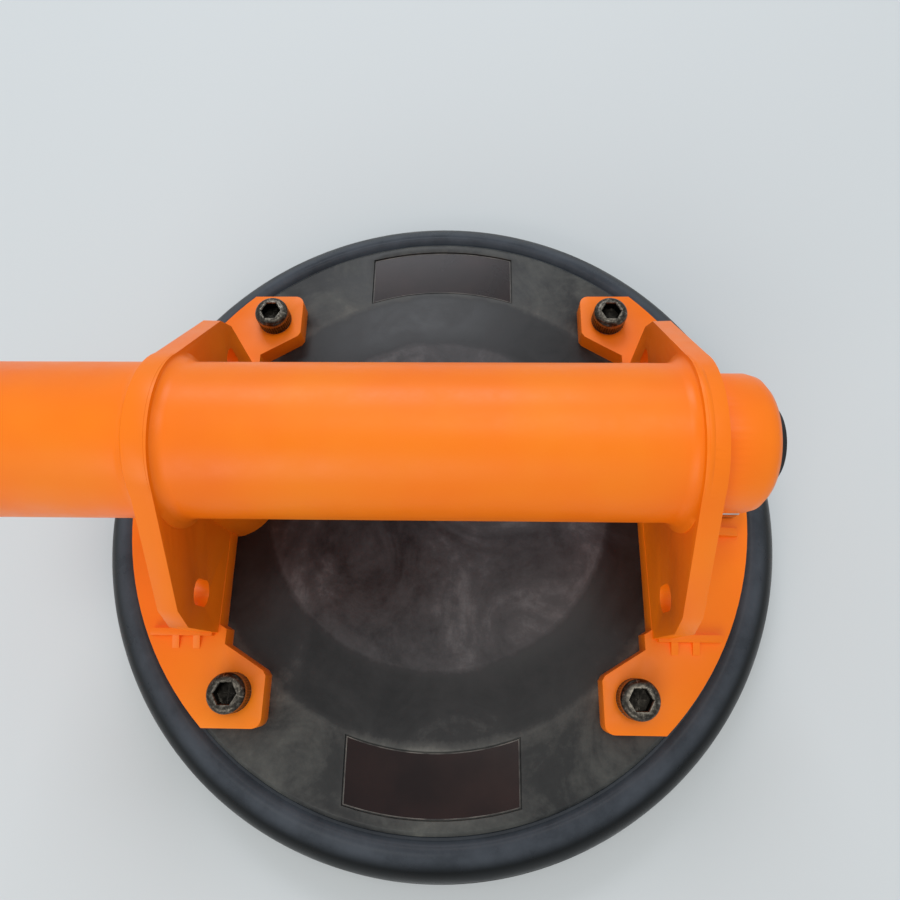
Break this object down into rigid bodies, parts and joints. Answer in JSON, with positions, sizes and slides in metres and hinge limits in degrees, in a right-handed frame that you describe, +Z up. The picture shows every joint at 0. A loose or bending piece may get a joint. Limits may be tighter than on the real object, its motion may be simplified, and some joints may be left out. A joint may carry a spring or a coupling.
{
  "type": "tile suction lifter",
  "caption": "Hand-held vacuum lifter for floor tiles: round rubber pad under a black cover, arched one-piece handle with a push release valve and built-in pump.",
  "frame": {"origin": "centre of the rubber pad at the height of the face that it seals on", "axes": "+Z up out of the pad, +X along the grip towards the release valve, -Y towards the user"},
  "size_m": [0.205, 0.205, 0.0886],
  "materials": {
    "handle_moulding": "moulded satin, fine texture",
    "cover_moulding": "moulded satin black",
    "pad_rubber": "moulded smooth rubber",
    "seal_rubber": "soft",
    "plate_steel": "zinc plated",
    "black_oxide": "black oxide",
    "bright_metal": "nickel plated",
    "brass": "turned",
    "label_film": "gloss film",
    "button_plastic": "satin black",
    "window_plastic": "smoked",
    "board_laminate": "solder mask",
    "chip_resin": "moulded",
    "chassis_plastic": "moulded",
    "pump_plastic": "moulded natural",
    "motor_steel": "plated",
    "magnet_ferrite": "ferrite",
    "armature_copper": "enamelled winding",
    "cell_sleeve": "shrink sleeve",
    "spring_steel": "wire",
    "silicone": "translucent",
    "sintered": "sintered"
  },
  "bodies": {
    "lifter": {"suction_pad": "pad_rubber", "backing_plate": "plate_steel", "weld_nuts": "plate_steel", "cover_plate": "cover_moulding", "label_front": "label_film", "label_rear": "label_film", "frame_screws": "black_oxide", "handle_frame": "handle_moulding", "suction_nipple": "brass", "port_filter": "sintered", "vent_pipe": "bright_metal", "pipe_nut": "bright_metal", "inlet_elbow": "silicone", "valve_cap": "handle_moulding", "cap_seal": "seal_rubber", "release_spring": "spring_steel", "end_cap": "handle_moulding", "display_window": "window_plastic", "circuit_board": "board_laminate", "power_switch": "chip_resin", "charge_socket": "bright_metal", "control_chip": "chip_resin", "pressure_sensor": "bright_metal", "chassis": "chassis_plastic", "pump_head": "pump_plastic", "pump_diaphragm": "silicone", "pump_yoke": "pump_plastic", "motor_can": "motor_steel", "motor_magnets": "magnet_ferrite", "battery_cell": "cell_sleeve", "battery_contacts": "spring_steel"},
    "release_valve": {"release_button": "button_plastic", "release_stem": "brass", "stem_seal": "seal_rubber"},
    "power_key": {"power_button": "button_plastic"},
    "charging_flap": {"charge_flap": "seal_rubber"},
    "check_valve": {"check_ball": "bright_metal"},
    "rotor": {"pump_crank": "brass", "motor_armature": "armature_copper", "motor_shaft": "spring_steel"}
  },
  "joints": [
    {"name": "release_press", "type": "slide", "parent": "lifter", "child": "release_valve", "axis": [-1, 0, 0], "range_m": [0, 0.002], "stiffness_N_per_m": 600, "springref_m": -0.002, "deforming": ["release_spring"]},
    {"name": "power_press", "type": "slide", "parent": "lifter", "child": "power_key", "axis": [1, 0, 0], "range_m": [0, 0.001], "stiffness_N_per_m": 500, "springref_m": -0.001},
    {"name": "flap_turn", "type": "hinge", "parent": "lifter", "child": "charging_flap", "pos_m": [-0.0987, 0, 0.0575], "axis": [0, -1, 0], "range_deg": [0, 100]},
    {"name": "check_lift", "type": "slide", "parent": "lifter", "child": "check_valve", "axis": [0, 0, 1], "range_m": [0, 0.001]},
    {"name": "pump_spin", "type": "hinge", "parent": "lifter", "child": "rotor", "pos_m": [0, 0, 0.0688], "axis": [1, 0, 0], "continuous": true}
  ]
}
